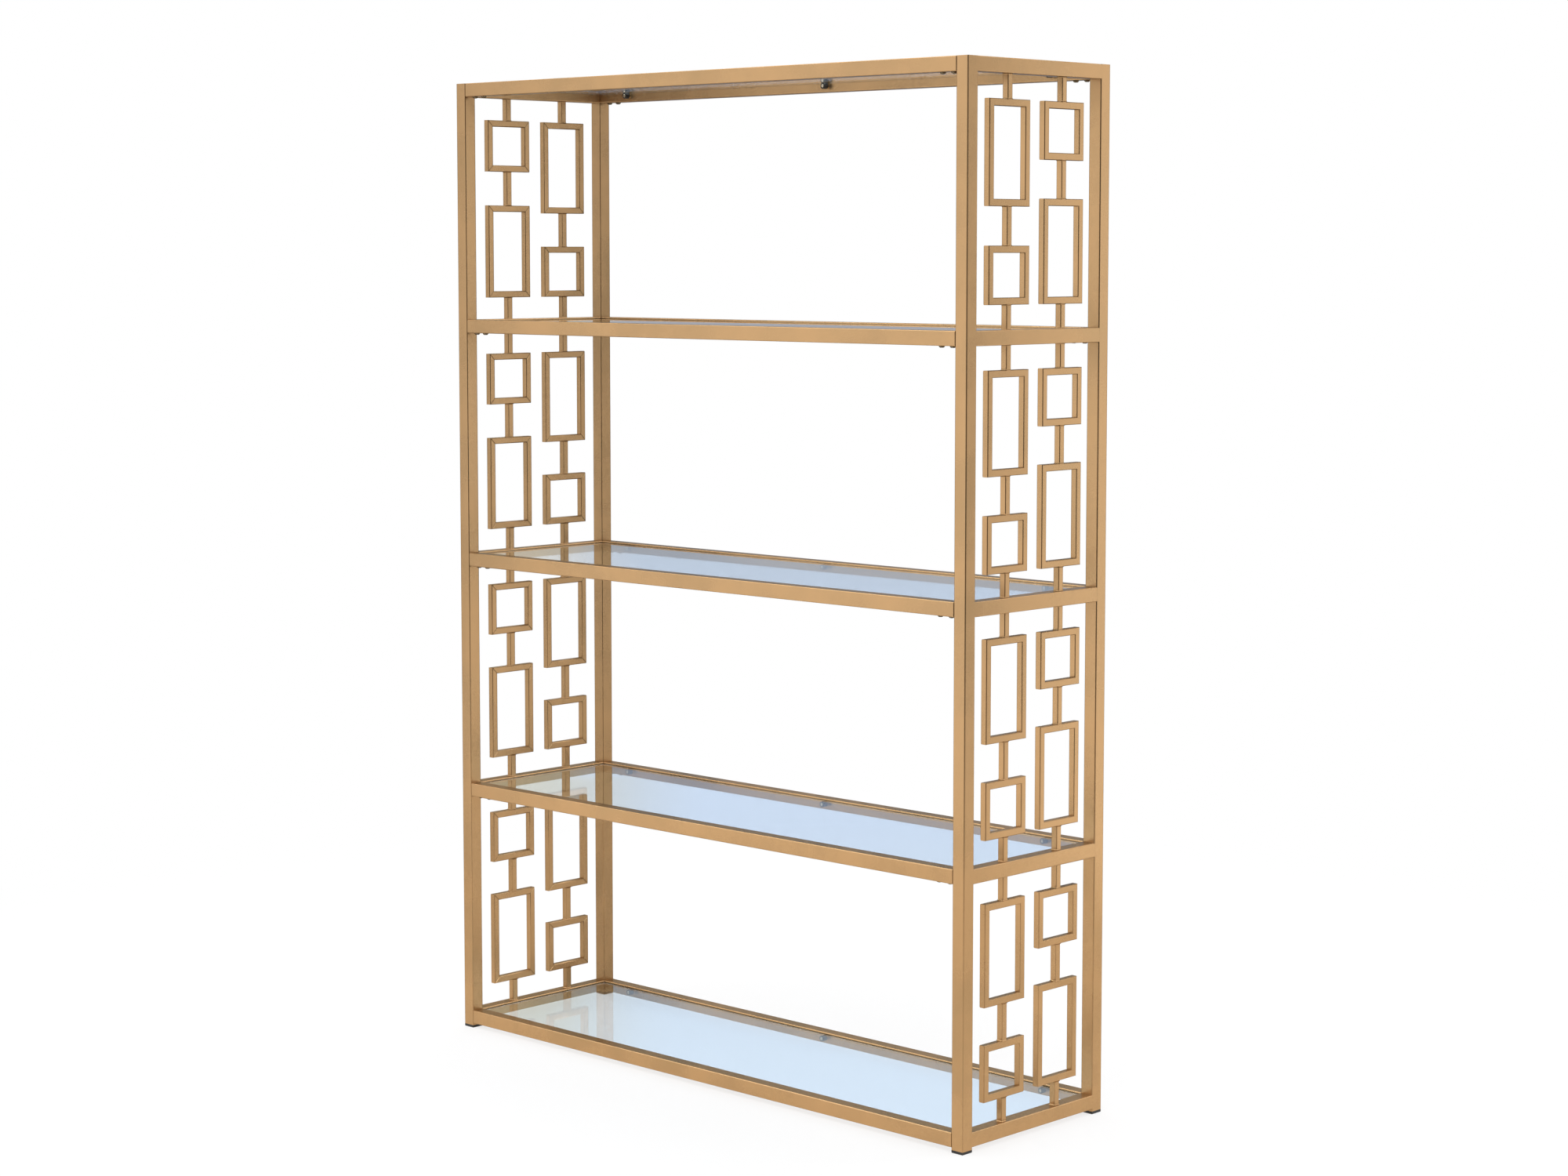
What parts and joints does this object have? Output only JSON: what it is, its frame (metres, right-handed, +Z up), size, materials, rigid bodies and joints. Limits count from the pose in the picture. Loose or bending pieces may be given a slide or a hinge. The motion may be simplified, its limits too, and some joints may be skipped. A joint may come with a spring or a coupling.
{
  "type": "etagere",
  "caption": "Tall open etagere: welded square-tube end frames filled with rectangular ring fretwork, long rails screwed between them, and clear glass shelves loose on pegs.",
  "frame": {"origin": "on the floor, under the middle of the footprint", "axes": "+X along the width to the right of someone facing the front, +Y to the back, +Z up"},
  "size_m": [1.265, 0.37, 1.806],
  "materials": {
    "frame_paint": "satin gold paint",
    "clear_glass": "clear, ground edges",
    "peg_chrome": "bright plated",
    "screw_steel": "nickel plated",
    "sleeve_rubber": "moulded",
    "glide_black": "moulded"
  },
  "bodies": {
    "frame": {"left_front_post": "frame_paint", "left_front_stubs": "frame_paint", "left_front_glide": "glide_black", "left_back_post": "frame_paint", "left_back_stubs": "frame_paint", "left_back_glide": "glide_black", "left_end_rail_1": "frame_paint", "left_end_rail_2": "frame_paint", "left_end_rail_3": "frame_paint", "left_end_rail_4": "frame_paint", "left_end_rail_5": "frame_paint", "left_fret_rings_1": "frame_paint", "left_fret_stems_1": "frame_paint", "left_fret_rings_2": "frame_paint", "left_fret_stems_2": "frame_paint", "left_fret_rings_3": "frame_paint", "left_fret_stems_3": "frame_paint", "left_fret_rings_4": "frame_paint", "left_fret_stems_4": "frame_paint", "right_front_post": "frame_paint", "right_front_stubs": "frame_paint", "right_front_glide": "glide_black", "right_back_post": "frame_paint", "right_back_stubs": "frame_paint", "right_back_glide": "glide_black", "right_end_rail_1": "frame_paint", "right_end_rail_2": "frame_paint", "right_end_rail_3": "frame_paint", "right_end_rail_4": "frame_paint", "right_end_rail_5": "frame_paint", "right_fret_rings_1": "frame_paint", "right_fret_stems_1": "frame_paint", "right_fret_rings_2": "frame_paint", "right_fret_stems_2": "frame_paint", "right_fret_rings_3": "frame_paint", "right_fret_stems_3": "frame_paint", "right_fret_rings_4": "frame_paint", "right_fret_stems_4": "frame_paint", "front_rail_1": "frame_paint", "front_rail_2": "frame_paint", "front_rail_3": "frame_paint", "front_rail_4": "frame_paint", "front_rail_5": "frame_paint", "back_rail_1": "frame_paint", "back_rail_2": "frame_paint", "back_rail_3": "frame_paint", "back_rail_4": "frame_paint", "back_rail_5": "frame_paint", "post_top_plates": "frame_paint", "rail_screws": "screw_steel", "shelf_pegs": "peg_chrome", "peg_sleeves": "sleeve_rubber"},
    "glass_shelf_1": {"glass_shelf_1": "clear_glass"},
    "glass_shelf_2": {"glass_shelf_2": "clear_glass"},
    "glass_shelf_3": {"glass_shelf_3": "clear_glass"},
    "glass_shelf_4": {"glass_shelf_4": "clear_glass"},
    "glass_shelf_5": {"glass_shelf_5": "clear_glass"}
  },
  "joints": [
    {"name": "glass_shelf_1_lift", "type": "slide", "parent": "frame", "child": "glass_shelf_1", "axis": [0, 0, 1], "range_m": [0, 0.3]},
    {"name": "glass_shelf_2_lift", "type": "slide", "parent": "frame", "child": "glass_shelf_2", "axis": [0, 0, 1], "range_m": [0, 0.3]},
    {"name": "glass_shelf_3_lift", "type": "slide", "parent": "frame", "child": "glass_shelf_3", "axis": [0, 0, 1], "range_m": [0, 0.3]},
    {"name": "glass_shelf_4_lift", "type": "slide", "parent": "frame", "child": "glass_shelf_4", "axis": [0, 0, 1], "range_m": [0, 0.3]},
    {"name": "glass_shelf_5_lift", "type": "slide", "parent": "frame", "child": "glass_shelf_5", "axis": [0, 0, 1], "range_m": [0, 0.3]}
  ]
}
